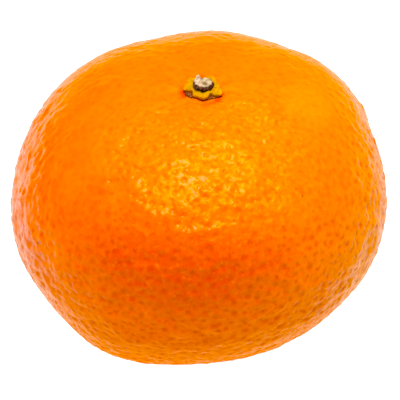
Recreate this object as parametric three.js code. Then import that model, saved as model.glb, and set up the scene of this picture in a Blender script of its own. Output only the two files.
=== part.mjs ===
// A whole mandarin, unpeeled, standing on its blossom end: the fruit, the calyx (the green star under the stem) and the
// short stub of stem left by the picking cut. Millimetres, +Z up, origin under the middle of the fruit, on the surface
// that it stands on. The stem stub points along +Z, and -Y is the front.
import * as THREE from "three";

// ---- driving dimensions -----------------------------------------------------------------------------------------
const EQUATOR = 34.0; // radius of the fruit at its widest, before the swellings
const CROWN = 24.95; // height of the stem end above the widest part
const BASE = 25.51; // depth of the blossom end below it
const CROWN_POWER = 2.153; // how square the shoulders are: 2 is an ellipse
const BASE_POWER = 2.229; // and the lower side
const FOOT_CUT = 25.0; // the flat spot lies this far below the widest part
const CENTRE_X = -0.09; // brings the middle of the fruit's box onto the origin
const STEM_X = 0.85; // the stem stands a little to one side

// Low swellings of the rind: waves that run round an axis tilted towards the front, from 2 to a turn upwards, each with
// its cosine and sine height in mm. They fade out towards the two ends of that axis.
const WAVE_TILT = 41; // degrees
const WAVES = [
  [-0.09, 0.6],
  [0.18, 0.01],
  [-0.22, -0.22],
  [-0.12, -0.07],
  [0.11, 0.01],
  [-0.06, -0.27],
  [-0.02, -0.04],
  [0.1, 0.01],
];
const DIMPLE_DEPTH = 0.9; // the shallow dimple that the stem stands in
const DIMPLE_RADIUS = 8.0;
const RIB_HEIGHT = 0.16; // the faint ribs that run out from the stem
const RIBS = 9;

const SOCKET_RADIUS = 1.35; // the scar that the calyx is joined to
const SOCKET_DEPTH = 0.9;
const GAP = 0.2; // between the calyx and the rind

// Outline of the calyx, five lobes: [degrees from +X towards +Y, mm from the stem's axis].
const CALYX_OUTLINE = [
  [-91, 2.95],
  [-70, 2.75],
  [-56, 2.45],
  [-42, 3.3],
  [-29, 4.1],
  [-15, 3.45],
  [2, 2.9],
  [17, 2.6],
  [42, 3.0],
  [60, 3.5],
  [77, 2.95],
  [98, 2.45],
  [122, 3.2],
  [137, 4.0],
  [148, 3.5],
  [160, 3.15],
  [174, 3.35],
  [187, 3.65],
  [202, 2.7],
  [213, 2.2],
  [231, 2.5],
  [248, 2.85],
];
const CALYX_MIDDLE = 0.8; // thickness round the stem, and at the edge of a lobe
const CALYX_EDGE = 0.32;
const LOBE_LIFT = 0.3; // the lobes curl this much off the rind
const SEAT_RADIUS = 1.78; // the recess that the stem stub grows out of
const SEAT_DEPTH = 0.2;

const STUB_RADIUS = 1.76; // at its thickest
const STUB_FACE = 1.44; // the cut face
const STUB_HEIGHT = 1.25; // above the seat
const FLAKE_HEIGHT = 0.5; // a sliver of wood that the cut left standing
const FLAKE_ANGLE = 142; // degrees from +X towards +Y

// ---- the rind's surface ----------------------------------------------------------------------------------------
const rad = THREE.MathUtils.degToRad;
const stemAxis = new THREE.Vector3(STEM_X / CROWN, 0, 1).normalize();
const angle = (a, b) => Math.acos(THREE.MathUtils.clamp(a.dot(b), -1, 1));

// Distance from the middle of the fruit to the rind along the unit vector d.
function rindRadius(d) {
  const s = Math.hypot(d.x, d.y);
  const up = d.z > 0;
  const power = up ? CROWN_POWER : BASE_POWER;
  let r =
    ((s / EQUATOR) ** power +
      (Math.abs(d.z) / (up ? CROWN : BASE)) ** power) **
    (-1 / power);
  const v = d.y * Math.sin(rad(WAVE_TILT)) + d.z * Math.cos(rad(WAVE_TILT));
  const spread = Math.hypot(d.x, v),
    turn = Math.atan2(v, d.x);
  WAVES.forEach(([c, q], i) => {
    const k = i + 2;
    r += spread ** k * (c * Math.cos(k * turn) + q * Math.sin(k * turn));
  });
  const out = angle(d, stemAxis) * 26; // mm from the stem along the rind, near it
  r -= DIMPLE_DEPTH * Math.exp(-((out / DIMPLE_RADIUS) ** 2));
  const round = Math.atan2(d.y, d.x - STEM_X / CROWN);
  r +=
    RIB_HEIGHT *
    Math.cos(
      RIBS * (round + Math.PI / 2) + Math.PI + 0.4 * Math.sin(2 * round),
    ) *
    (out / 7) *
    Math.exp(1 - out / 7) *
    THREE.MathUtils.clamp(d.z * 2, 0, 1);
  return r;
}

const rindPoint = (d) => d.clone().multiplyScalar(rindRadius(d));

// A direction at azimuth az and angle polar from the stem. The grid of directions is drawn over to the stem near it.
function direction(az, polar) {
  const over = (STEM_X / CROWN) * Math.max(0, Math.cos(polar)) ** 2;
  return new THREE.Vector3(
    Math.sin(polar) * Math.cos(az) + over,
    Math.sin(polar) * Math.sin(az),
    Math.cos(polar),
  ).normalize();
}

// Height of the rind above the widest part at (x, y), near the stem.
function rindHeight(x, y) {
  const p = new THREE.Vector3(x, y, CROWN);
  for (let i = 0; i < 12; i++) {
    const d = p.clone().normalize();
    p.z *= rindRadius(d) / p.length();
  }
  return p.z;
}

// A closed body from rows of points, the first and last of which are single points on its top and its underside.
function bodyOfRows(rows, around) {
  const g = new THREE.SphereGeometry(1, around, rows.length - 1);
  const p = g.attributes.position;
  for (let row = 0, i = 0; row < rows.length; row++)
    for (let k = 0; k <= around; k++, i++) {
      const v = rows[row](((k % around) / around) * 2 * Math.PI);
      p.setXYZ(i, v.x, v.y, v.z);
    }
  g.computeVertexNormals();
  return g;
}

// ---- the fruit -------------------------------------------------------------------------------------------------
// Angle from the stem, in degrees, at which the rind comes down to the flat spot.
function footPolar(az) {
  let low = 140,
    high = 178;
  for (let i = 0; i < 40; i++) {
    const mid = (low + high) / 2;
    if (rindPoint(direction(az, rad(mid))).z > -FOOT_CUT) low = mid;
    else high = mid;
  }
  return low;
}
function footEdge(az) {
  const p = rindPoint(direction(az, rad(footPolar(az))));
  return new THREE.Vector3(p.x, p.y, -FOOT_CUT);
}

const stemTop = rindHeight(STEM_X, 0);
const ringAt = (radius, z) => (az) =>
  new THREE.Vector3(
    STEM_X + radius * Math.cos(az),
    radius * Math.sin(az),
    z(STEM_X + radius * Math.cos(az), radius * Math.sin(az)),
  );
const polars = [8, 10.5, 13.5, 17, 21];
const LAST_FULL = 136; // below this the rows draw in to the edge of the flat spot
for (let a = 26; a <= LAST_FULL; a += 5) polars.push(a);
const fruitRows = [
  ringAt(0, () => stemTop - SOCKET_DEPTH),
  ringAt(SOCKET_RADIUS - 0.1, () => stemTop - SOCKET_DEPTH),
  ringAt(SOCKET_RADIUS, rindHeight),
  ringAt(2.2, rindHeight),
  ...polars.map((a) => (az) => rindPoint(direction(az, rad(a)))),
  ...[0.25, 0.5, 0.72, 0.9].map(
    (t) => (az) =>
      rindPoint(
        direction(az, rad(THREE.MathUtils.lerp(LAST_FULL, footPolar(az), t))),
      ),
  ),
  footEdge,
  () => new THREE.Vector3(0, 0, -FOOT_CUT),
];
const fruitGeometry = bodyOfRows(fruitRows, 60);

// ---- the calyx -------------------------------------------------------------------------------------------------
function outline(az) {
  const deg = (az * 180) / Math.PI;
  const n = CALYX_OUTLINE.length;
  const at = (i) => {
    const turn = Math.floor(i / n);
    const [a, r] = CALYX_OUTLINE[i - turn * n];
    return [a + 360 * turn, r];
  };
  let x = deg;
  while (x < at(0)[0]) x += 360;
  while (x >= at(n)[0]) x -= 360;
  let i = 0;
  while (at(i + 1)[0] <= x) i++;
  const [[, r0], [a1, r1], [a2, r2], [, r3]] = [i - 1, i, i + 1, i + 2].map(at);
  const t = (x - a1) / (a2 - a1);
  const m1 = (r2 - r0) / 2,
    m2 = (r3 - r1) / 2;
  return (
    (2 * t ** 3 - 3 * t ** 2 + 1) * r1 +
    (t ** 3 - 2 * t ** 2 + t) * m1 +
    (3 * t ** 2 - 2 * t ** 3) * r2 +
    (t ** 3 - t ** 2) * m2
  );
}

const seatTop = stemTop + GAP + CALYX_MIDDLE;
// share runs from 0 at the seat to 1 at the outline; side is 1 on top and 0 underneath
const lobePoint = (share, side) => (az) => {
  const radius = SEAT_RADIUS + (outline(az) - SEAT_RADIUS) * share;
  const x = STEM_X + radius * Math.cos(az),
    y = radius * Math.sin(az);
  const lift = GAP + LOBE_LIFT * share ** 3;
  const thick = THREE.MathUtils.lerp(CALYX_MIDDLE, CALYX_EDGE, share ** 0.8);
  const z = rindHeight(x, y) + lift + thick * side;
  return new THREE.Vector3(x, y, share === 0 && side === 1 ? seatTop : z);
};
const calyxRows = [
  ringAt(0, () => seatTop - SEAT_DEPTH),
  ringAt(SEAT_RADIUS - 0.06, () => seatTop - SEAT_DEPTH),
  lobePoint(0, 1),
  lobePoint(0.3, 1),
  lobePoint(0.6, 1),
  lobePoint(0.9, 0.95),
  lobePoint(1, 0.5),
  lobePoint(0.92, 0),
  lobePoint(0.6, 0),
  lobePoint(0.3, 0),
  lobePoint(0, 0),
  ringAt(SOCKET_RADIUS - 0.2, (x, y) => rindHeight(x, y) + GAP),
  ringAt(SOCKET_RADIUS - 0.3, () => stemTop - SOCKET_DEPTH + 0.25),
  ringAt(0, () => stemTop - SOCKET_DEPTH + 0.25),
];
const calyxGeometry = bodyOfRows(calyxRows, 64);

// ---- the stem stub ---------------------------------------------------------------------------------------------
const stubBottom = seatTop - SEAT_DEPTH + 0.1;
const stubPoint = (radius, height, standing) => (az) => {
  const wobble = 1 + 0.025 * Math.cos(2 * az + 0.8) + 0.015 * Math.cos(5 * az);
  const r = radius * wobble;
  let away = ((az * 180) / Math.PI - FLAKE_ANGLE) % 360;
  if (away > 180) away -= 360;
  if (away < -180) away += 360;
  const flake = standing * FLAKE_HEIGHT * Math.exp(-((away / 24) ** 2));
  return new THREE.Vector3(
    STEM_X + r * Math.cos(az),
    0.96 * r * Math.sin(az),
    stubBottom + height * STUB_HEIGHT + flake,
  );
};
const stubRows = [
  stubPoint(0, 0.98, 0),
  stubPoint(0.55, 0.99, 0),
  stubPoint(1.05, 0.95, 0.1),
  stubPoint(STUB_FACE * 0.86, 0.92, 0.6),
  stubPoint(STUB_FACE, 0.9, 1),
  stubPoint(STUB_FACE + 0.12, 0.8, 0.75),
  stubPoint(STUB_RADIUS - 0.04, 0.6, 0),
  stubPoint(STUB_RADIUS, 0.4, 0),
  stubPoint(STUB_RADIUS - 0.07, 0.2, 0),
  stubPoint(STUB_RADIUS - 0.14, 0.05, 0),
  stubPoint(STUB_RADIUS - 0.24, 0, 0),
  stubPoint(0, 0, 0),
];
const stubGeometry = bodyOfRows(stubRows, 36);

// ---- assembly --------------------------------------------------------------------------------------------------
function piece(name, geometry, color, roughness) {
  const mesh = new THREE.Mesh(
    geometry,
    new THREE.MeshStandardMaterial({ color, roughness, metalness: 0 }),
  );
  mesh.name = name;
  return mesh;
}

const mandarin = new THREE.Group();
mandarin.name = "mandarin";
mandarin.add(
  piece("fruit", fruitGeometry, 0xff7a0a, 0.4),
  piece("calyx", calyxGeometry, 0xd9a616, 0.6),
  piece("stem_stub", stubGeometry, 0x6b4a2a, 0.85),
);
mandarin.position.set(CENTRE_X, 0, FOOT_CUT);

export default mandarin;
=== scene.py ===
"""A whole mandarin on a pale lit table: the rind with its oil glands, the calyx and the stub of stem.

Lengths are in millimetres while a shape is worked out, from the middle of the fruit, and in metres in the meshes, in the
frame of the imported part.
"""
import math

import bpy
import numpy as np
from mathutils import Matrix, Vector, kdtree


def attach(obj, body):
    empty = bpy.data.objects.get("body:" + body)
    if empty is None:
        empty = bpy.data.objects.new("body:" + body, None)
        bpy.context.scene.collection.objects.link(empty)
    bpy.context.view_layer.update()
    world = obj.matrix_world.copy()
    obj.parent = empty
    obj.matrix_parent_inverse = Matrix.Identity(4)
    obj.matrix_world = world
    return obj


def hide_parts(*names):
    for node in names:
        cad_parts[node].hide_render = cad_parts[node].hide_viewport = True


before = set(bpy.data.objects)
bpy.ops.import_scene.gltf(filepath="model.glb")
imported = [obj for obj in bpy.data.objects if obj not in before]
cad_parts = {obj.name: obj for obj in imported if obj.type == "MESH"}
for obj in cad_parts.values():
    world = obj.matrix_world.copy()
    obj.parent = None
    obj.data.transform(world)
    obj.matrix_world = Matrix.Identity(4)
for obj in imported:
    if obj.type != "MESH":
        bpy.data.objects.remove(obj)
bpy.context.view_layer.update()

# ---- the body's shape, as in the solid model --------------------------------------------------------------------
EQUATOR = 34.0
CROWN, CROWN_POWER = 24.95, 2.153
BASE, BASE_POWER = 25.51, 2.229
FOOT_CUT = 25.0
CENTRE_X = -0.09
STEM_X = 0.85
WAVE_TILT = math.radians(41)
WAVES = [
    (-0.09, 0.6),
    (0.18, 0.01),
    (-0.22, -0.22),
    (-0.12, -0.07),
    (0.11, 0.01),
    (-0.06, -0.27),
    (-0.02, -0.04),
    (0.1, 0.01),
]
DIMPLE_DEPTH, DIMPLE_RADIUS = 0.9, 8.0
RIB_HEIGHT, RIBS = 0.16, 9
STEM_AXIS = np.array([STEM_X / CROWN, 0.0, 1.0])
STEM_AXIS /= np.linalg.norm(STEM_AXIS)
SHIFT = np.array([CENTRE_X, 0.0, FOOT_CUT])


def smooth(x, low, high):
    t = np.clip((x - low) / (high - low), 0, 1)
    return t * t * (3 - 2 * t)


def unit(v):
    return v / np.linalg.norm(v, axis=-1, keepdims=True)


def angle_to(d, axis):
    return np.arccos(np.clip(d @ axis, -1, 1))


def rind_radius(d):
    s = np.hypot(d[:, 0], d[:, 1])
    c = d[:, 2]
    up = c > 0
    power = np.where(up, CROWN_POWER, BASE_POWER)
    r = (
        (s / EQUATOR) ** power + (np.abs(c) / np.where(up, CROWN, BASE)) ** power
    ) ** (-1 / power)
    wave = d[:, 0] + 1j * (d[:, 1] * math.sin(WAVE_TILT) + c * math.cos(WAVE_TILT))
    for k, (a, b) in enumerate(WAVES, 2):
        r = r + a * (wave**k).real + b * (wave**k).imag
    out = angle_to(d, STEM_AXIS) * 26.0
    r = r - DIMPLE_DEPTH * np.exp(-((out / DIMPLE_RADIUS) ** 2))
    around = np.arctan2(d[:, 1], d[:, 0] - STEM_X / CROWN)
    return r + RIB_HEIGHT * np.cos(
        RIBS * (around + np.pi / 2) + np.pi + 0.4 * np.sin(2 * around)
    ) * (out / 7) * np.exp(1 - out / 7) * np.clip(c * 2, 0, 1)


def rind(d):
    return d * rind_radius(d)[:, None]


def rind_normal(d, step=2e-3):
    """Outward normals of the rind, from its slopes."""
    ref = np.where(np.abs(d[:, 2:3]) < 0.9, [[0.0, 0.0, 1.0]], [[1.0, 0.0, 0.0]])
    u = unit(np.cross(ref, d))
    v = np.cross(d, u)
    du = rind(unit(d + step * u)) - rind(unit(d - step * u))
    dv = rind(unit(d + step * v)) - rind(unit(d - step * v))
    return unit(np.cross(du, dv))


def rind_height(x, y):
    """Height of the rind above the middle of the fruit at (x, y), near the stem."""
    p = np.stack([x, y, np.full_like(x, CROWN)], -1)
    for _ in range(12):
        p[:, 2] *= rind_radius(unit(p)) / np.linalg.norm(p, axis=1)
    return p[:, 2]


# ---- seeded noise -----------------------------------------------------------------------------------------------
def waves_noise(p, wavelength, seed, count=48, spread=0.35):
    """Smooth noise with about unit variance: plane waves in random directions, their lengths near the one given."""
    rng = np.random.default_rng(seed)
    k = unit(rng.normal(size=(count, 3)))
    k *= (2 * np.pi / wavelength * np.exp(rng.normal(0, spread, count)))[:, None]
    phase = rng.uniform(0, 2 * np.pi, count)
    total = np.zeros(len(p))
    for i in range(count):
        total += np.cos(p @ k[i] + phase[i])
    return total * math.sqrt(2 / count)


# ---- the grid of directions -------------------------------------------------------------------------------------
def cube_sphere(n, towards=(0.0, -0.75, 0.66), denser=0.2):
    """Directions and quads of a sphere made from a cube's faces, with its cells finer on the side given."""
    t = np.tan((np.arange(n + 1) / n * 2 - 1) * math.pi / 4)
    index, points, quads = {}, [], []
    for axis in range(3):
        for sign in (-1, 1):
            ids = np.empty((n + 1, n + 1), int)
            for i in range(n + 1):
                for j in range(n + 1):
                    c = [0, 0, 0]
                    c[axis] = sign * n
                    c[(axis + 1) % 3] = 2 * i - n
                    c[(axis + 2) % 3] = 2 * j - n
                    key = tuple(c)
                    got = index.get(key)
                    if got is None:
                        got = index[key] = len(points)
                        p = [0.0, 0.0, 0.0]
                        p[axis] = float(sign)
                        p[(axis + 1) % 3] = t[i]
                        p[(axis + 2) % 3] = t[j]
                        points.append(p)
                    ids[i, j] = got
            a, b, c_, d = ids[:-1, :-1], ids[1:, :-1], ids[1:, 1:], ids[:-1, 1:]
            q = np.stack([a, b, c_, d] if sign > 0 else [a, d, c_, b], -1)
            quads.append(q.reshape(-1, 4))
    d = unit(np.array(points))
    d = unit(d + denser * unit(np.array(towards)))
    return d, np.concatenate(quads)


# ---- oil glands -------------------------------------------------------------------------------------------------
def scatter(spacing, seed, tries, taken=None, clear=0.0):
    """Points on the rind at least about spacing apart, and clear of the taken ones: centres, in mm."""
    rng = np.random.default_rng(seed)
    d = unit(rng.normal(size=(tries, 3)))
    r = rind_radius(d)
    # a direction's share of the area goes with the square of the radius over the tilt of the surface
    n = rind_normal(d)
    weight = r**2 / np.clip((n * d).sum(1), 0.3, 1)
    keep = rng.uniform(size=tries) < weight / weight.max()
    p = d[keep] * r[keep][:, None]
    gap = spacing * rng.uniform(0.86, 1.22, len(p))
    cell = spacing * 1.3
    grid = {}
    old = {}
    if taken is not None:
        for q, c in zip(taken.tolist(), np.floor(taken / cell).astype(int).tolist()):
            old.setdefault(tuple(c), []).append(q)
    chosen = []
    around = [(a, b, c) for a in (-1, 0, 1) for b in (-1, 0, 1) for c in (-1, 0, 1)]
    for q, g, c in zip(p.tolist(), gap.tolist(), np.floor(p / cell).astype(int).tolist()):
        ok = True
        for a in around:
            key = (c[0] + a[0], c[1] + a[1], c[2] + a[2])
            for o in grid.get(key, ()):
                if (q[0] - o[0]) ** 2 + (q[1] - o[1]) ** 2 + (q[2] - o[2]) ** 2 < g * g:
                    ok = False
                    break
            if ok:
                for o in old.get(key, ()):
                    if (q[0] - o[0]) ** 2 + (q[1] - o[1]) ** 2 + (q[2] - o[2]) ** 2 < clear * clear:
                        ok = False
                        break
            if not ok:
                break
        if ok:
            grid.setdefault(tuple(c), []).append(q)
            chosen.append(q)
    return np.array(chosen)


def nearest(points, centres):
    """For each point the index of and the distance to the nearest centre."""
    tree = kdtree.KDTree(len(centres))
    for i, c in enumerate(centres.tolist()):
        tree.insert(c, i)
    tree.balance()
    found = [tree.find(p) for p in points.tolist()]
    return np.array([f[1] for f in found]), np.array([f[2] for f in found])


def mesh_object(name, points_mm, faces, smooth_shading=True):
    mesh = bpy.data.meshes.new(name)
    mesh.from_pydata((points_mm * 1e-3).tolist(), [], [list(map(int, f)) for f in faces])
    mesh.validate()
    mesh.polygons.foreach_set("use_smooth", [smooth_shading] * len(mesh.polygons))
    mesh.update()
    obj = bpy.data.objects.new(name, mesh)
    bpy.context.scene.collection.objects.link(obj)
    return obj


def attribute(mesh, name, kind, domain, values):
    layer = mesh.attributes.new(name, kind, domain)
    layer.data.foreach_set(
        "vector" if kind == "FLOAT_VECTOR" else "value",
        np.ascontiguousarray(values, np.float32).ravel(),
    )


# ---- the rind ---------------------------------------------------------------------------------------------------
# Smooth shallow dents in the rind: direction azimuth, latitude (degrees), radius and depth in mm.
DENTS = [(-61, 36, 3.2, 0.20), (-108, 36, 5.0, -0.12), (-85, 57, 4.5, 0.14), (-75, 30, 3.5, 0.12), (-38, 8, 4.0, 0.12)]
# Small marks on the rind: position in mm from the middle of the fruit, radius in mm, kind (0 a dark speck, 1 a grey
# scuff, 2 a yellower patch).
MARKS = [
    ((16.75, -18.90, 17.56), 0.30, 0),
    ((17.78, -19.56, 16.56), 0.26, 0),
    ((-0.92, -31.63, 10.16), 0.26, 0),
    ((-2.10, -31.52, 10.30), 0.22, 0),
    ((-27.88, -18.75, 4.95), 0.42, 0),
    ((24.75, -22.46, -3.51), 0.95, 1),
    ((-21.35, -26.91, -1.40), 0.70, 1),
    ((19.49, -0.82, 21.69), 5.5, 2),
    ((14.0, 22.5, 9.0), 0.30, 0),
    ((-19.0, 20.0, 12.5), 0.28, 0),
    ((-8.5, 29.5, -6.0), 1.1, 1),
]

# Waxier places: position in mm from the middle of the fruit, radius in mm, added gloss.
WAX = [
    ((-33.5, -3.0, 5.0), 8.5, 0.48),
    ((-28.7, 9.9, 11.3), 7.0, 0.30),
    ((30.5, -15.0, -0.5), 7.0, 0.06),
    ((29.5, 8.0, 12.5), 7.5, 0.28),
]

grid_d, grid_quads = cube_sphere(128)
base_p = rind(grid_d)
normal = rind_normal(grid_d)

big = scatter(1.5, 11, 70000)
rng = np.random.default_rng(5)
big_size = rng.uniform(0.40, 0.74, len(big))
small = scatter(0.9, 12, 140000, taken=big, clear=0.88)
small_size = rng.uniform(0.24, 0.40, len(small))

big_i, big_gap = nearest(base_p, big)
small_i, small_gap = nearest(base_p, small)

stem_out = angle_to(grid_d, STEM_AXIS) * 26.0
calm = smooth(stem_out, 3.0, 7.0)  # the rind is smoother under the calyx and close round it
low = smooth(-base_p[:, 2], 20.0, 24.0)


def pit(gap, size):
    t = np.clip(1 - (gap / size) ** 2, 0, 1)
    return t * t


# the rind is smoother on its shoulders and behind the stem than in front
aside = np.abs(base_p[:, 0])
quiet = smooth(base_p[:, 2], 3.0, 12.0) * np.maximum(
    smooth(aside, 13.0, 20.0) * (1 - smooth(aside, 24.0, 30.0)),
    smooth(base_p[:, 1], -9.0, 1.0) * (1 - smooth(np.hypot(base_p[:, 0], base_p[:, 1]), 24.0, 31.0)),
)
calm = calm * (1 - 0.6 * quiet)

relief = np.zeros(len(base_p))
low = smooth(-base_p[:, 2], 1.0, 11.0)  # the outline runs smoothly round the lower part
relief += 0.068 * waves_noise(base_p, 7.5, 21) * (0.35 + 0.65 * calm) * (1 - 0.5 * low)
relief += 0.058 * waves_noise(base_p * np.array([0.7, 1.0, 1.2]), 3.2, 22) * calm * (1 - 0.65 * low)
relief += 0.040 * waves_noise(base_p * np.array([0.85, 1.0, 1.05]), 1.7, 23) * (0.3 + 0.7 * calm)
# its two sides are more wrinkled, and so is a patch beside the calyx
relief += 0.045 * waves_noise(base_p, 2.6, 24) * smooth(aside, 22.0, 29.0) * (1 - 0.7 * low)
beside = np.exp(-((np.linalg.norm(base_p - np.array([10.8, -5.6, 23.2]), axis=1) / 4.6) ** 2))
beside += 0.6 * np.exp(-((np.linalg.norm(base_p - np.array([0.5, -11.0, 22.4]), axis=1) / 5.0) ** 2))
relief += 0.075 * waves_noise(base_p, 1.9, 25) * beside
relief -= 0.080 * pit(big_gap, big_size[big_i] * 1.3) * (0.35 + 0.65 * calm)
relief -= 0.030 * pit(small_gap, small_size[small_i] * 1.35) * (0.35 + 0.65 * calm)
for az, lat, radius, depth in DENTS:
    az, lat = math.radians(az), math.radians(lat)
    c = np.array([math.cos(lat) * math.cos(az), math.cos(lat) * math.sin(az), math.sin(lat)])
    centre = rind(c[None])[0]
    gap = np.linalg.norm(base_p - centre, axis=1)
    relief -= depth * np.exp(-((gap / radius) ** 2) * 1.4)

p = base_p + normal * relief[:, None]
# the scar that the calyx is joined to
STEM_Y = -0.28
off_axis = np.hypot(p[:, 0] - STEM_X, p[:, 1] - STEM_Y)
socket = (1 - smooth(off_axis, 1.05, 1.5)) * (p[:, 2] > 0)
p[:, 2] -= 0.9 * socket
# the flat spot, with the shallow hollow of the blossom end inside it
under = -FOOT_CUT - p[:, 2]
soft = 0.12
flat = soft * np.log1p(np.exp(np.clip(under / soft, -30, 30)))
p[:, 2] += np.where(p[:, 2] < 0, flat, 0)
scar = np.array([-0.9, 0.2])
from_scar = np.hypot(p[:, 0] - scar[0], p[:, 1] - scar[1])
beneath = p[:, 2] < -15
p[:, 2] += np.where(
    beneath,
    0.55 * np.exp(-((from_scar / 4.2) ** 2)) + 0.25 * np.exp(-((from_scar / 1.1) ** 2)),
    0,
)
p[:, 2] = np.maximum(p[:, 2], -FOOT_CUT)

peel = mesh_object("peel", p + SHIFT, grid_quads)
quad_mid = (p + SHIFT)[grid_quads].mean(1)
quad_base = base_p[grid_quads].mean(1)
qb, _ = nearest(quad_base, big)
qs, _ = nearest(quad_base, small)
# the glands' centres lie on the smooth rind, so the shader measures from the smooth rind too
attribute(peel.data, "rest", "FLOAT_VECTOR", "POINT", (base_p + SHIFT) * 1e-3)
attribute(peel.data, "quiet", "FLOAT", "POINT", quiet)
attribute(peel.data, "gland", "FLOAT_VECTOR", "FACE", (big + SHIFT)[qb] * 1e-3)
attribute(peel.data, "gland_size", "FLOAT", "FACE", big_size[qb])
attribute(peel.data, "gland_tone", "FLOAT", "FACE", rng.uniform(0, 1, len(big))[qb])
attribute(peel.data, "small_gland", "FLOAT_VECTOR", "FACE", (small + SHIFT)[qs] * 1e-3)
attribute(peel.data, "small_size", "FLOAT", "FACE", small_size[qs])
attribute(peel.data, "small_tone", "FLOAT", "FACE", rng.uniform(0, 1, len(small))[qs])

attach(peel, "root")
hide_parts("fruit")
print("glands", len(big), len(small), "verts", len(p))


# ---- node helpers -----------------------------------------------------------------------------------------------
class Nodes:
    """Short names for building a node tree."""

    def __init__(self, tree):
        self.tree = tree

    def add(self, kind, values=None, **settings):
        node = self.tree.nodes.new(kind)
        for k, v in settings.items():
            setattr(node, k, v)
        for k, v in (values or {}).items():
            self.put(node.inputs[k], v)
        return node

    def put(self, socket, value):
        if isinstance(value, bpy.types.NodeSocket):
            self.tree.links.new(value, socket)
        else:
            socket.default_value = value

    def math(self, op, a, b=0.0, c=0.0, clamp=False):
        node = self.add("ShaderNodeMath", operation=op, use_clamp=clamp)
        self.put(node.inputs[0], a)
        self.put(node.inputs[1], b)
        if len(node.inputs) > 2:
            self.put(node.inputs[2], c)
        return node.outputs[0]

    def ramp(self, value, low, high, to_low=0.0, to_high=1.0, smooth=True):
        node = self.add(
            "ShaderNodeMapRange",
            {"Value": value, "From Min": low, "From Max": high, "To Min": to_low, "To Max": to_high},
            interpolation_type="SMOOTHSTEP" if smooth else "LINEAR",
        )
        return node.outputs["Result"]

    def mix(self, factor, a, b, kind="MIX"):
        node = self.add("ShaderNodeMix", data_type="RGBA", blend_type=kind)
        self.put(node.inputs[0], factor)
        self.put(node.inputs[6], a)
        self.put(node.inputs[7], b)
        return node.outputs[2]

    def noise(self, vector, scale, detail=2.0, rough=0.5, distort=0.0):
        return self.add(
            "ShaderNodeTexNoise",
            {"Vector": vector, "Scale": scale, "Detail": detail, "Roughness": rough, "Distortion": distort},
        )

    def attr(self, name):
        return self.add("ShaderNodeAttribute", attribute_name=name)


def material(name):
    m = bpy.data.materials.new(name)
    m.use_nodes = True
    m.node_tree.nodes.clear()
    n = Nodes(m.node_tree)
    out = n.add("ShaderNodeOutputMaterial")
    shader = n.add("ShaderNodeBsdfPrincipled")
    m.node_tree.links.new(shader.outputs[0], out.inputs["Surface"])
    return m, n, shader


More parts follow.
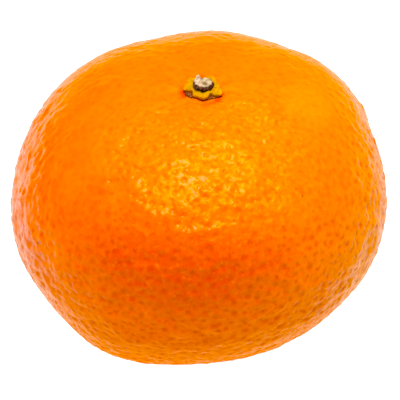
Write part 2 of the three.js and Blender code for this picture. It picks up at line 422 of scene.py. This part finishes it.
# ---- the rind's material ----------------------------------------------------------------------------------------
def peel_material():
    m, n, shader = material("peel")
    rest = n.attr("rest").outputs["Vector"]
    wobble = n.noise(rest, 700.0, 1.0)
    shift = n.add("ShaderNodeVectorMath", operation="MULTIPLY_ADD")
    n.put(shift.inputs[0], wobble.outputs["Color"])
    n.put(shift.inputs[1], (0.0009, 0.0009, 0.0009))
    n.put(shift.inputs[2], rest)
    centre = n.add("ShaderNodeVectorMath", operation="SUBTRACT")
    n.put(centre.inputs[0], shift.outputs[0])
    n.put(centre.inputs[1], (0.00045, 0.00045, 0.00045))
    here = centre.outputs[0]

    def gland(name, size_name):
        gap = n.add("ShaderNodeVectorMath", operation="DISTANCE")
        n.put(gap.inputs[0], here)
        n.put(gap.inputs[1], n.attr(name).outputs["Vector"])
        mm = n.math("MULTIPLY", gap.outputs["Value"], 1000.0)
        return n.math("DIVIDE", mm, n.attr(size_name).outputs["Fac"])

    big_t = gland("gland", "gland_size")
    small_t = gland("small_gland", "small_size")
    big_spot = n.ramp(big_t, 1.7, 0.1)
    small_spot = n.ramp(small_t, 1.6, 0.1)
    big_pore = n.ramp(big_t, 1.1, 0.2)
    small_pore = n.ramp(small_t, 1.2, 0.1)
    tone = n.attr("gland_tone").outputs["Fac"]
    big_tone = n.ramp(tone, 0.0, 1.0, 0.55, 1.0, smooth=False)
    small_tone = n.ramp(n.attr("small_tone").outputs["Fac"], 0.0, 1.0, 0.1, 0.6, smooth=False)

    # yellower towards the top, partly painted light from above and partly the rind's own tone; deeper orange round the
    # lower front, yellower on the right
    lit = n.add("ShaderNodeVectorMath", operation="DOT_PRODUCT")
    n.put(lit.inputs[0], rest)
    n.put(lit.inputs[1], (0.0, 5.6, 27.7))
    side = n.ramp(lit.outputs["Value"], 0.42, 1.36, smooth=False)
    across = n.add("ShaderNodeSeparateXYZ", {"Vector": rest}).outputs["X"]
    patch = n.noise(rest, 60.0, 3.0, 0.55).outputs["Fac"]
    patch2 = n.noise(rest, 210.0, 2.0, 0.5).outputs["Fac"]
    painted_top_light_and_patches = n.math("ADD", side, n.ramp(patch, 0.3, 0.7, -0.15, 0.15), clamp=True)
    base = n.mix(painted_top_light_and_patches, (0.93, 0.169, 0.006, 1), (0.90, 0.241, 0.008, 1))
    base = n.mix(n.ramp(across, 0.0, 0.034, 0.0, 0.50, smooth=False), base, (0.98, 0.345, 0.010, 1))
    base = n.mix(n.ramp(across, -0.010, -0.032, 0.0, 0.50, smooth=False), base, (0.81, 0.176, 0.006, 1))
    base = n.mix(n.ramp(across, -0.022, -0.031, 0.0, 0.40), base, (0.75, 0.106, 0.005, 1))
    base = n.mix(n.ramp(patch2, 0.35, 0.7, 0.0, 0.35), base, (0.92, 0.260, 0.010, 1))
    # a darker, deeper orange band across the lower front: painted shade where the front turns away from the light
    # above, partly the rind's own deeper tone
    band = n.add("ShaderNodeVectorMath", operation="MULTIPLY")
    n.put(band.inputs[0], rest)
    n.put(band.inputs[1], (0.62, 1.0, 1.6))
    from_band = n.add("ShaderNodeVectorMath", operation="DISTANCE")
    n.put(from_band.inputs[0], band.outputs[0])
    n.put(from_band.inputs[1], (-0.003, -0.0313, 0.0336 * 1.6))
    painted_front_shade = n.ramp(from_band.outputs["Value"], 0.019, 0.003, 0.0, 0.84)
    base = n.mix(n.math("MULTIPLY", painted_front_shade, n.ramp(patch, 0.25, 0.6, 0.88, 1.0)), base, (0.66, 0.120, 0.004, 1))
    # yellower again towards the blossom end: partly painted light bounced up from the floor, partly the rind's own tone
    upwards = n.add("ShaderNodeSeparateXYZ", {"Vector": rest}).outputs["Z"]
    base = n.mix(n.ramp(upwards, 0.0300, 0.013, 0.0, 0.7), base, (0.83, 0.258, 0.008, 1))
    # paler low on the right: a painted sheen standing in for glossy streaks there
    from_painted_sheen = n.add("ShaderNodeVectorMath", operation="DISTANCE")
    n.put(from_painted_sheen.inputs[0], rest)
    n.put(from_painted_sheen.inputs[1], (0.0300, -0.0150, 0.0225))
    base = n.mix(n.ramp(from_painted_sheen.outputs["Value"], 0.014, 0.003, 0.0, 0.5), base, (0.95, 0.350, 0.013, 1))
    # the glands show as darker spots, clearest round the lower front
    clear = n.math("MULTIPLY", n.ramp(upwards, 0.033, 0.048, 1.0, 0.35), n.ramp(upwards, 0.010, 0.026, 0.5, 1.0))
    clear = n.math("MULTIPLY", clear, n.ramp(across, -0.010, -0.026, 1.0, 0.75))
    spots = n.math("MULTIPLY", n.math("MULTIPLY", big_spot, big_tone), clear)
    base = n.mix(n.math("MULTIPLY", spots, 0.60), base, (0.53, 0.068, 0.003, 1))
    spots2 = n.math("MULTIPLY", n.math("MULTIPLY", small_spot, small_tone), clear)
    base = n.mix(n.math("MULTIPLY", spots2, 0.60), base, (0.57, 0.077, 0.003, 1))
    mottle = n.noise(rest, 1050.0, 2.0, 0.6).outputs["Fac"]
    darker = n.math("MULTIPLY", n.ramp(mottle, 0.5, 0.8, 0.0, 0.75), clear)
    base = n.mix(darker, base, (0.74, 0.105, 0.004, 1))
    lighter = n.math("MULTIPLY", n.ramp(mottle, 0.5, 0.2, 0.0, 0.35), clear)
    base = n.mix(lighter, base, (0.92, 0.300, 0.014, 1))
    # small paler dots between the glands of the front shoulder: painted glints standing in for small highlights
    from_brow = n.add("ShaderNodeVectorMath", operation="DISTANCE")
    n.put(from_brow.inputs[0], rest)
    n.put(from_brow.inputs[1], (0.0060, -0.0140, 0.0455))
    glint_noise = n.noise(rest, 1250.0, 0.5, 0.5).outputs["Fac"]
    painted_glints = n.math("MULTIPLY", n.ramp(glint_noise, 0.53, 0.70), n.ramp(from_brow.outputs["Value"], 0.021, 0.009, 0.0, 0.32))
    base = n.mix(painted_glints, base, (0.97, 0.400, 0.016, 1))
    # darker and redder beside the calyx: painted shade where the calyx overhangs the rind
    out_x = n.add("ShaderNodeVectorMath", operation="DISTANCE")
    n.put(out_x.inputs[0], rest)
    n.put(out_x.inputs[1], ((STEM_X + CENTRE_X) * 1e-3, STEM_Y * 1e-3 - 0.0004, 0.0485))
    painted_calyx_shade = n.ramp(out_x.outputs["Value"], 0.0050, 0.0033, 0.0, 0.75)
    painted_calyx_shade = n.math("MULTIPLY", painted_calyx_shade, n.ramp(n.noise(rest, 420.0, 1.0).outputs["Fac"], 0.4, 0.62))
    base = n.mix(painted_calyx_shade, base, (0.80, 0.075, 0.004, 1))
    # the healed spot of the blossom end, underneath
    from_end = n.add("ShaderNodeVectorMath", operation="DISTANCE")
    n.put(from_end.inputs[0], here)
    n.put(from_end.inputs[1], ((CENTRE_X - 0.9) * 1e-3, 0.2e-3, 0.0))
    base = n.mix(n.ramp(from_end.outputs["Value"], 0.0042, 0.0016, 0.0, 0.45), base, (0.60, 0.300, 0.040, 1))
    base = n.mix(n.ramp(from_end.outputs["Value"], 0.0013, 0.0007, 0.0, 0.9), base, (0.10, 0.045, 0.015, 1))
    tints = ((0.26, 0.060, 0.004, 1), (0.42, 0.150, 0.050, 1), (0.95, 0.420, 0.012, 1))
    for spot, size, kind in MARKS:
        from_mark = n.add("ShaderNodeVectorMath", operation="DISTANCE")
        n.put(from_mark.inputs[0], here)
        n.put(from_mark.inputs[1], tuple((np.array(spot) + SHIFT) * 1e-3))
        inside = n.ramp(from_mark.outputs["Value"], size * 1.3e-3, size * 0.4e-3, 0.0, (0.6, 0.45, 0.22)[kind])
        if kind == 1:
            inside = n.math("MULTIPLY", inside, n.ramp(mottle, 0.42, 0.58))
        base = n.mix(inside, base, tints[kind])
    n.put(shader.inputs["Base Color"], base)

    fine = n.noise(rest, 1500.0, 3.0, 0.6).outputs["Fac"]
    finer = n.noise(rest, 4200.0, 2.0, 0.6).outputs["Fac"]
    height = n.math("MULTIPLY", fine, 0.023)
    height = n.math("ADD", height, n.math("MULTIPLY", finer, 0.0025))
    deep = n.ramp(n.attr("quiet").outputs["Fac"], 0.0, 1.0, 1.0, 0.2)
    height = n.math("MULTIPLY", height, deep)
    height = n.math("SUBTRACT", height, n.math("MULTIPLY", n.math("MULTIPLY", big_pore, 0.045), deep))
    height = n.math("SUBTRACT", height, n.math("MULTIPLY", n.math("MULTIPLY", small_pore, 0.026), deep))
    bump = n.add("ShaderNodeBump", {"Strength": 1.0, "Distance": 0.001, "Height": height})
    n.put(shader.inputs["Normal"], bump.outputs["Normal"])

    rough = n.ramp(patch2, 0.2, 0.8, 0.23, 0.31)
    brow = n.add("ShaderNodeVectorMath", operation="DISTANCE")
    n.put(brow.inputs[0], rest)
    n.put(brow.inputs[1], (0.001, -0.0185, 0.0465))
    rough = n.math("ADD", rough, n.ramp(brow.outputs["Value"], 0.022, 0.008, 0.0, 0.085))
    n.put(shader.inputs["Roughness"], rough)
    # the rind is duller low down and behind the stem
    gloss = n.ramp(upwards, 0.012, 0.028, 0.02, 0.50, smooth=False)
    behind = n.add("ShaderNodeSeparateXYZ", {"Vector": rest}).outputs["Y"]
    gloss = n.math("MULTIPLY", gloss, n.ramp(behind, -0.003, 0.009, 1.0, 0.2))
    gloss = n.math("MULTIPLY", gloss, n.ramp(across, 0.023, 0.031, 1.0, 0.72))
    # a few places are waxier
    for spot, size, more in WAX:
        from_wax = n.add("ShaderNodeVectorMath", operation="DISTANCE")
        n.put(from_wax.inputs[0], rest)
        n.put(from_wax.inputs[1], tuple((np.array(spot) + SHIFT) * 1e-3))
        gloss = n.math("ADD", gloss, n.ramp(from_wax.outputs["Value"], size * 1e-3, size * 0.2e-3, 0.0, more))
    n.put(shader.inputs["Specular IOR Level"], gloss)
    shader.inputs["IOR"].default_value = 1.36
    shader.inputs["Specular Tint"].default_value = (1.0, 0.96, 0.82, 1)
    shader.inputs["Subsurface Weight"].default_value = 0.0
    return m


peel.data.materials.append(peel_material())

# ---- the calyx --------------------------------------------------------------------------------------------------
# Outline of the five joined lobes and of the brown scar under them: degrees from +X towards +Y, mm from the stem's axis.
LOBES = [
    (-91, 3.08), (-80, 3.0), (-70, 2.75), (-61, 2.35), (-55, 2.3), (-49, 2.7), (-43, 3.3), (-37, 3.75), (-32, 3.85),
    (-26, 3.65), (-18, 3.3), (-6, 3.0), (7, 2.85), (19, 2.75), (33, 2.8), (47, 3.1), (57, 3.35), (65, 3.3),
    (75, 2.85), (87, 2.45), (100, 2.4), (112, 2.6), (123, 3.0), (132, 3.4), (138, 3.55), (144, 3.5), (151, 3.2),
    (160, 3.05), (170, 3.2), (180, 3.5), (187, 3.55), (194, 3.25), (201, 2.75), (207, 2.35), (213, 2.2), (220, 2.4),
    (229, 2.72), (240, 2.92), (250, 3.02), (260, 3.08),
]
SCAR = [(-91, 2.8), (-60, 3.25), (-48, 3.3), (-30, 3.0), (20, 2.5), (60, 2.8), (98, 2.4), (137, 3.0), (180, 3.0), (200, 3.45), (214, 3.3), (232, 2.85)]


def round_curve(points, az):
    """Smooth closed curve of radius against azimuth (radians) through points in degrees."""
    a = np.array([q[0] for q in points], float)
    r = np.array([q[1] for q in points], float)
    n = len(a)
    x = np.degrees(az)
    x = (x - a[0]) % 360 + a[0]
    ext_a = np.concatenate([[a[-1] - 360], a, [a[0] + 360, a[1] + 360]])
    ext_r = np.concatenate([[r[-1]], r, [r[0], r[1]]])
    i = np.clip(np.searchsorted(ext_a, x, side="right") - 1, 1, n)
    t = (x - ext_a[i]) / (ext_a[i + 1] - ext_a[i])
    m1 = (ext_r[i + 1] - ext_r[i - 1]) / 2
    m2 = (ext_r[i + 2] - ext_r[i]) / 2
    return (
        (2 * t**3 - 3 * t**2 + 1) * ext_r[i]
        + (t**3 - 2 * t**2 + t) * m1
        + (3 * t**2 - 2 * t**3) * ext_r[i + 1]
        + (t**3 - t**2) * m2
    )


def rows_mesh(name, rows, around):
    """A closed body from rows of (x, y, z) arrays round the stem, each row a ring, the first and the last one point."""
    points = [rows[0][:1]] + [np.asarray(r) for r in rows[1:-1]] + [rows[-1][:1]]
    starts = np.cumsum([0] + [len(q) for q in points])
    faces = []
    k = np.arange(around)
    j = (k + 1) % around
    first, last = starts[1], starts[-3]
    faces += [(0, int(first + a), int(first + b)) for a, b in zip(k, j)]
    for r in range(1, len(rows) - 2):
        s0, s1 = starts[r], starts[r + 1]
        faces += [(int(s0 + a), int(s1 + a), int(s1 + b), int(s0 + b)) for a, b in zip(k, j)]
    end = starts[-2]
    faces += [(int(end), int(last + b), int(last + a)) for a, b in zip(k, j)]
    return mesh_object(name, np.concatenate(points) + SHIFT, faces)


AROUND = 240
az = np.arange(AROUND) / AROUND * 2 * np.pi
lobe_edge = round_curve(LOBES, az)
lobe_edge += 0.06 * waves_noise(np.stack([np.cos(az), np.sin(az), az * 0], -1) * 3, 0.9, 41, 24)
scar_edge = round_curve(SCAR, az) + 0.05 * waves_noise(np.stack([np.cos(az), np.sin(az), az * 0 + 5], -1) * 3, 0.8, 42, 24)
stem_top = rind_height(np.array([STEM_X]), np.array([0.0]))[0]
SEAT = 1.74
MIDDLE, EDGE = 0.86, 0.42
seat_top = stem_top + 0.12 + MIDDLE


def around_stem(radius, z):
    """Points of a ring of the given radius per azimuth; z is a number or a function of x, y and the radius."""
    x = STEM_X + radius * np.cos(az)
    y = STEM_Y + radius * np.sin(az)
    return np.stack([x, y, z(x, y) if callable(z) else np.full(AROUND, float(z))], -1)


def lobe_surface(share, side, inset=0.0):
    """share 0 at the seat to 1 at the lobes' edge, side 1 on the top and 0 underneath."""
    radius = SEAT + (lobe_edge - inset - SEAT) * share
    reach = np.clip((radius - SEAT) / 2.4, 0, 1)
    lift = 0.10 + 0.34 * reach**2.2
    thick = MIDDLE - (MIDDLE - EDGE) * reach**0.7
    x, y = STEM_X + radius * np.cos(az), STEM_Y + radius * np.sin(az)
    z = rind_height(x, y) + lift + thick * side
    if side > 0.5:
        q = np.stack([x, y, 0 * x], -1)
        grain = 0.050 * waves_noise(q, 1.5, 43) + 0.028 * waves_noise(q, 0.6, 44) + 0.012 * waves_noise(q, 0.28, 45)
        crease = np.zeros(AROUND)
        for middle in (-27, 60, 137, 184, 262):  # the midrib of each lobe
            off = (np.degrees(az) - middle + 180) % 360 - 180
            crease += np.exp(-((np.radians(off) * radius / 0.28) ** 2))
        fibres = 0.018 * np.cos(41 * az + 3 * np.sin(3 * az)) * smooth(radius, 1.9, 2.6)
        fade = smooth(radius, SEAT, SEAT + 0.5)
        z = z + fade * (grain + fibres + 0.07 * crease)
    return np.stack([x, y, z], -1)


calyx_rows = [
    around_stem(0 * az, seat_top - 0.30),
    around_stem(0 * az + 0.9, seat_top - 0.30),
    around_stem(0 * az + 1.50, seat_top - 0.30),
    around_stem(0 * az + 1.56, seat_top - 0.16),
    lobe_surface(0.0, 0.92),
    lobe_surface(0.03, 1.0),
]
calyx_rows += [lobe_surface(s, 1.0) for s in np.linspace(0.08, 0.92, 15)]
calyx_rows += [
    lobe_surface(0.96, 0.96),
    lobe_surface(0.985, 0.84),
    lobe_surface(1.0, 0.62),
    lobe_surface(1.0, 0.38),
    lobe_surface(0.985, 0.16),
    lobe_surface(0.95, 0.04),
]
calyx_rows += [lobe_surface(s, 0.0) for s in (0.85, 0.7, 0.55, 0.4)]
inner = SEAT + (lobe_edge - SEAT) * 0.34
inner = np.minimum(inner, scar_edge - 0.35)
for share, lift in ((0.0, 0.16), (0.35, 0.20), (0.7, 0.22), (0.9, 0.17), (1.0, 0.09)):
    radius = inner + (scar_edge - inner) * share
    q = np.stack([np.cos(az) * radius, np.sin(az) * radius, 0 * az], -1)
    rough_top = 0.035 * waves_noise(q, 0.7, 46) * (0.2 < share < 0.95)
    calyx_rows.append(around_stem(radius, lambda x, y, lift=lift, rough_top=rough_top: rind_height(x, y) + lift + rough_top))
for radius, drop in ((0.97, 0.03), (0.7, 0.03)):
    calyx_rows.append(around_stem(scar_edge * radius, lambda x, y, drop=drop: rind_height(x, y) + drop))
calyx_rows += [
    around_stem(0 * az + 1.02, lambda x, y: rind_height(x, y) - 0.02),
    around_stem(0 * az + 0.95, stem_top - 0.6),
    around_stem(0 * az, stem_top - 0.6),
]
calyx = rows_mesh("calyx_star", calyx_rows, AROUND)


def point_values(rows, around, values):
    """One number per row, spread over the mesh that rows_mesh makes."""
    out = [np.full(1, values[0])] + [np.full(around, v) if np.isscalar(v) else v for v in values[1:-1]] + [np.full(1, values[-1])]
    return np.concatenate(out)


# 1 on the lobes' upper side, falling to 0 underneath and on the scar
lobes_top = [0.0, 0.0, 0.0, 0.1, 0.35, 0.55] + [1.0] * 15 + [1.0, 1.0, 0.95, 0.75, 0.4, 0.2] + [0.1] * 4 + [0.0] * 10
attribute(calyx.data, "lobe", "FLOAT", "POINT", point_values(calyx_rows, AROUND, lobes_top))


def stem_distance(n, place, centre=None):
    """Distance in mm from the stem's axis, and the place relative to it."""
    c = centre or ((STEM_X + CENTRE_X) * 1e-3, STEM_Y * 1e-3, 0)
    off = n.add("ShaderNodeVectorMath", operation="SUBTRACT")
    n.put(off.inputs[0], place)
    n.put(off.inputs[1], c)
    flat = n.add("ShaderNodeVectorMath", operation="MULTIPLY")
    n.put(flat.inputs[0], off.outputs[0])
    n.put(flat.inputs[1], (1000.0, 1000.0, 0.0))
    size = n.add("ShaderNodeVectorMath", operation="LENGTH")
    n.put(size.inputs[0], flat.outputs[0])
    return size.outputs["Value"], flat.outputs[0]


def calyx_material():
    m, n, shader = material("calyx")
    place = n.add("ShaderNodeTexCoord").outputs["Object"]
    lobe = n.attr("lobe").outputs["Fac"]
    out, flat = stem_distance(n, place)
    broad = n.noise(place, 900.0, 2.0).outputs["Fac"]
    fine = n.noise(place, 3200.0, 3.0, 0.6).outputs["Fac"]
    top = n.mix(n.ramp(broad, 0.35, 0.65), (0.52, 0.235, 0.008, 1), (0.64, 0.310, 0.014, 1))
    green = n.math("MULTIPLY", n.ramp(n.noise(place, 1400.0, 1.0).outputs["Fac"], 0.5, 0.75), 0.55)
    top = n.mix(green, top, (0.38, 0.280, 0.012, 1))
    top = n.mix(n.ramp(fine, 0.55, 0.8, 0.0, 0.35), top, (0.26, 0.12, 0.006, 1))
    near = n.ramp(out, 2.15, 1.7)
    top = n.mix(n.math("MULTIPLY", near, 0.65), top, (0.16, 0.105, 0.008, 1))
    brown = n.mix(n.ramp(fine, 0.4, 0.65), (0.060, 0.014, 0.004, 1), (0.38, 0.130, 0.045, 1))
    colour = n.mix(n.ramp(lobe, 0.25, 0.85), brown, top)
    n.put(shader.inputs["Base Color"], colour)
    n.put(shader.inputs["Roughness"], n.ramp(broad, 0.3, 0.7, 0.5, 0.65))
    fibres = n.noise(place, 2600.0, 3.0, 0.65, 0.3).outputs["Fac"]
    bump = n.add("ShaderNodeBump", {"Strength": 0.8, "Distance": 0.0001, "Height": fibres})
    n.put(shader.inputs["Normal"], bump.outputs["Normal"])
    shader.inputs["Specular IOR Level"].default_value = 0.2
    return m


calyx.data.materials.append(calyx_material())
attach(calyx, "root")
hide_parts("calyx")

# ---- the stem stub ----------------------------------------------------------------------------------------------
stub_bottom = seat_top - 0.27
STUB_TALL = 1.20
FLAKE_AZ = math.radians(134)


def stub_ring(radius, height, standing=0.0, bark=1.0, ragged=0.0, lean=0.0):
    """A ring of the stub; radius in mm, height as a share, standing how much of the flake, bark how furrowed."""
    q = np.stack([np.cos(az) * 1.7, np.sin(az) * 1.7, 0 * az + 0.35 * height], -1)
    furrow = 0.055 * waves_noise(q, 0.55, 51, 40) + 0.035 * waves_noise(q, 0.25, 52, 40)
    r = radius * (1 + 0.03 * np.cos(2 * az + 0.8) + 0.02 * np.cos(5 * az)) + bark * furrow
    off = (az - FLAKE_AZ + np.pi) % (2 * np.pi) - np.pi
    flake = standing * (
        0.80 * np.exp(-((off / 0.34) ** 2))
        + 0.18 * np.exp(-(((off - 0.7) / 0.5) ** 2))
        - 0.30 * np.exp(-(((off + 0.66) / 0.18) ** 2))
    )
    q2 = np.stack([np.cos(az) * 1.5, np.sin(az) * 1.5, 0 * az + 9.0], -1)
    z = stub_bottom + height * STUB_TALL + flake + ragged * 0.05 * waves_noise(q2, 0.5, 53, 40)
    r = r + lean * np.exp(-((off / 0.36) ** 2))
    return np.stack([STEM_X + 0.02 + r * np.cos(az), STEM_Y + 0.97 * r * np.sin(az), z], -1)


def face_ring(radius):
    """A ring of the cut face: slightly domed wood with a split and a sunken pith."""
    x, y = radius * np.cos(az), radius * np.sin(az)
    q = np.stack([x, y, 0 * x], -1)
    z = 0.95 - 0.055 * (radius / 1.3) ** 2
    dip = 0.07 * np.exp(-(((x - 0.22) ** 2 + (y + 0.42) ** 2) / 0.14))
    notch = 0.34 * np.exp(-(((x + 0.30) / 0.24) ** 2 + ((y - 0.98) / 0.26) ** 2))
    z = stub_bottom + z * STUB_TALL + 0.035 * waves_noise(q, 0.6, 54, 40) + 0.018 * waves_noise(q, 0.25, 55, 40) - dip - notch
    return np.stack([STEM_X + 0.02 + x, STEM_Y + 0.97 * y, z], -1)


stub_rows = [face_ring(0 * az)]
stub_rows += [face_ring(0 * az + r) for r in (0.15, 0.3, 0.45, 0.6, 0.75, 0.9, 1.02, 1.12)]
stub_rows += [
    stub_ring(1.20, 0.93, 0.35, 0.2, 0.6, 0.02),
    stub_ring(1.27, 0.95, 0.80, 0.35, 1.0, 0.03),
    stub_ring(1.34, 0.96, 1.00, 0.5, 1.0, 0.05),
    stub_ring(1.42, 0.94, 1.00, 0.7, 1.0, 0.07),
    stub_ring(1.50, 0.88, 0.85, 0.9, 0.7, 0.06),
    stub_ring(1.60, 0.78, 0.45, 1.0, 0.3, 0.03),
    stub_ring(1.67, 0.68, 0.15, 1.0),
    stub_ring(1.71, 0.58),
    stub_ring(1.73, 0.48),
    stub_ring(1.72, 0.38),
    stub_ring(1.68, 0.28),
    stub_ring(1.60, 0.18, 0, 0.8),
    stub_ring(1.50, 0.10, 0, 0.5),
    stub_ring(1.44, 0.03, 0, 0.3),
    stub_ring(1.30, 0.0, 0, 0.0),
    stub_ring(0.7 + 0 * az, 0.0, 0, 0.0),
    stub_ring(0 * az, 0.0, 0, 0.0),
]
stub = rows_mesh("stem", stub_rows, AROUND)
cut = [1.0] * 9 + [1.0, 1.0, 0.9, 0.7, 0.4, 0.1] + [0.0] * (len(stub_rows) - 15)
attribute(stub.data, "cut", "FLOAT", "POINT", point_values(stub_rows, AROUND, cut))
off = (az - FLAKE_AZ + np.pi) % (2 * np.pi) - np.pi
flake_here = np.maximum(np.exp(-((off / 0.40) ** 2)), 0.95 * np.exp(-(((off - 0.75) / 0.65) ** 2)))
standing = [0.0] * 5 + [0.2, 0.5, 0.8, 1.0, 1.0, 1.0, 1.0, 1.0, 0.9, 0.6, 0.1] + [0.0] * (len(stub_rows) - 16)
attribute(
    stub.data,
    "flake",
    "FLOAT",
    "POINT",
    point_values(stub_rows, AROUND, [0.0] + [flake_here * v for v in standing[1:-1]] + [0.0]),
)


def stub_material():
    m, n, shader = material("stem")
    place = n.add("ShaderNodeTexCoord").outputs["Object"]
    cut_here = n.attr("cut").outputs["Fac"]
    flake = n.attr("flake").outputs["Fac"]
    fine = n.noise(place, 3600.0, 3.0, 0.6).outputs["Fac"]
    broad = n.noise(place, 1300.0, 2.0).outputs["Fac"]
    wood = n.mix(n.ramp(broad, 0.35, 0.65), (0.40, 0.285, 0.165, 1), (0.60, 0.47, 0.29, 1))
    wood = n.mix(n.ramp(fine, 0.5, 0.8, 0.0, 0.4), wood, (0.20, 0.11, 0.045, 1))
    pith, _ = stem_distance(n, place, ((STEM_X + CENTRE_X + 0.26) * 1e-3, (STEM_Y - 0.42) * 1e-3, 0))
    wood = n.mix(n.math("MULTIPLY", n.ramp(pith, 0.62, 0.2), 0.75), wood, (0.16, 0.068, 0.018, 1))
    stretched = n.add("ShaderNodeVectorMath", operation="MULTIPLY")
    n.put(stretched.inputs[0], place)
    n.put(stretched.inputs[1], (1.0, 1.0, 0.3))
    strands = n.noise(stretched.outputs[0], 3000.0, 3.0, 0.65).outputs["Fac"]
    bark = n.mix(n.ramp(strands, 0.4, 0.68), (0.040, 0.011, 0.006, 1), (0.260, 0.115, 0.070, 1))
    bark = n.mix(n.ramp(n.noise(place, 2100.0, 1.0).outputs["Fac"], 0.62, 0.75, 0.0, 0.5), bark, (0.100, 0.085, 0.020, 1))
    colour = n.mix(n.ramp(n.math("ADD", cut_here, n.math("MULTIPLY", strands, 0.5)), 0.7, 1.0), bark, wood)
    colour = n.mix(n.ramp(flake, 0.35, 0.8), colour, (0.68, 0.49, 0.37, 1))
    n.put(shader.inputs["Base Color"], colour)
    n.put(shader.inputs["Roughness"], n.ramp(broad, 0.3, 0.7, 0.65, 0.85))
    bump = n.add("ShaderNodeBump", {"Strength": 0.8, "Distance": 0.00012, "Height": strands})
    n.put(shader.inputs["Normal"], bump.outputs["Normal"])
    shader.inputs["Specular IOR Level"].default_value = 0.15
    return m


stub.data.materials.append(stub_material())
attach(stub, "root")
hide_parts("stem_stub")

# ---- floor, light and camera ------------------------------------------------------------------------------------
bpy.ops.mesh.primitive_plane_add(size=6.0, location=(0, 0, 0))
floor = bpy.context.object
floor.name = "floor"
m, n, shader = material("floor")
n.put(shader.inputs["Base Color"], (0.12, 0.12, 0.12, 1))
shader.inputs["Roughness"].default_value = 0.9
shader.inputs["Emission Color"].default_value = (1, 1, 1, 1)
# a self-glowing white floor: its glow is painted light, brighter towards the left and a little dimmer in front, with a
# painted shadow where the fruit covers it
place = n.add("ShaderNodeTexCoord").outputs["Object"]
sweep = n.add("ShaderNodeVectorMath", operation="DOT_PRODUCT")
n.put(sweep.inputs[0], place)
n.put(sweep.inputs[1], (-1.0, 0.0, 0.0))
from_painted_shadow = n.add("ShaderNodeVectorMath", operation="LENGTH")
n.put(from_painted_shadow.inputs[0], place)
front = n.add("ShaderNodeSeparateXYZ", {"Vector": place}).outputs["Y"]
glow = n.ramp(sweep.outputs["Value"], 0.0, 0.08, 1.32, 1.65)
glow = n.math("MULTIPLY", glow, n.ramp(front, -0.060, 0.005, 0.93, 1.0))
glow = n.math("MULTIPLY", glow, n.ramp(from_painted_shadow.outputs["Value"], 0.009, 0.024, 0.15, 1.0))
n.put(shader.inputs["Emission Strength"], glow)
floor.data.materials.append(m)

world = bpy.data.worlds.new("studio")
bpy.context.scene.world = world
world.use_nodes = True
# pale walls at the sides and the back, a dim room above and in front
w = Nodes(world.node_tree)
toward = w.add("ShaderNodeSeparateXYZ", {"Vector": w.add("ShaderNodeTexCoord").outputs["Generated"]})
walls = w.math("MULTIPLY", w.ramp(toward.outputs["Y"], -0.45, 0.1), w.ramp(toward.outputs["Z"], 0.16, 0.03))
world.node_tree.nodes["Background"].inputs["Color"].default_value = (1, 1, 1, 1)
w.put(world.node_tree.nodes["Background"].inputs["Strength"], w.math("MULTIPLY_ADD", walls, 1.12, 0.13))


def softbox(name, azimuth, elevation, distance, width, height, watts, colour=(1, 1, 1)):
    """An area light aimed at the fruit: azimuth from the front towards +X, in degrees and metres."""
    a, e = math.radians(azimuth), math.radians(elevation)
    target = Vector((0, 0, 0.025))
    place = target + distance * Vector(
        (math.cos(e) * math.sin(a), -math.cos(e) * math.cos(a), math.sin(e))
    )
    data = bpy.data.lights.new(name, "AREA")
    data.shape = "RECTANGLE"
    data.size, data.size_y = width, height
    data.energy = watts
    data.color = colour
    lamp = bpy.data.objects.new(name, data)
    lamp.location = place
    lamp.rotation_euler = (target - place).to_track_quat("-Z", "Y").to_euler()
    bpy.context.scene.collection.objects.link(lamp)
    return lamp


softbox("key", 2, 81, 0.6, 0.28, 0.18, 4.0)
softbox("top", 0, 100, 0.7, 0.9, 0.8, 2.9)

camera_data = bpy.data.cameras.new("camera")
camera = bpy.data.objects.new("camera", camera_data)
bpy.context.scene.collection.objects.link(camera)
TILT = math.radians(41.342)
camera_data.sensor_width = 36.0
camera_data.lens = 208.61
camera_data.clip_start, camera_data.clip_end = 0.05, 20.0
middle = Vector((CENTRE_X, 0, FOOT_CUT)) * 1e-3
back = Vector((0, -math.cos(TILT), math.sin(TILT)))
up = Vector((0, math.sin(TILT), math.cos(TILT)))
camera.location = middle + 0.420 * back - 0.00125 * up + 0.00027 * Vector((1, 0, 0))
camera.rotation_euler = (math.pi / 2 - TILT, 0, 0)
bpy.context.scene.camera = camera
bpy.context.scene.view_settings.view_transform = "Standard"
bpy.context.scene.view_settings.look = "None"


# ---- the picture's own processing: a little more saturation, as product pictures have ---------------------------
scene = bpy.context.scene
scene.use_nodes = True
tree = scene.node_tree
tree.nodes.clear()
layers = tree.nodes.new("CompositorNodeRLayers")
grade = tree.nodes.new("CompositorNodeHueSat")
grade.inputs["Saturation"].default_value = 1.12
composite = tree.nodes.new("CompositorNodeComposite")
tree.links.new(layers.outputs["Image"], grade.inputs["Image"])
tree.links.new(grade.outputs["Image"], composite.inputs["Image"])

bpy.context.view_layer.update()
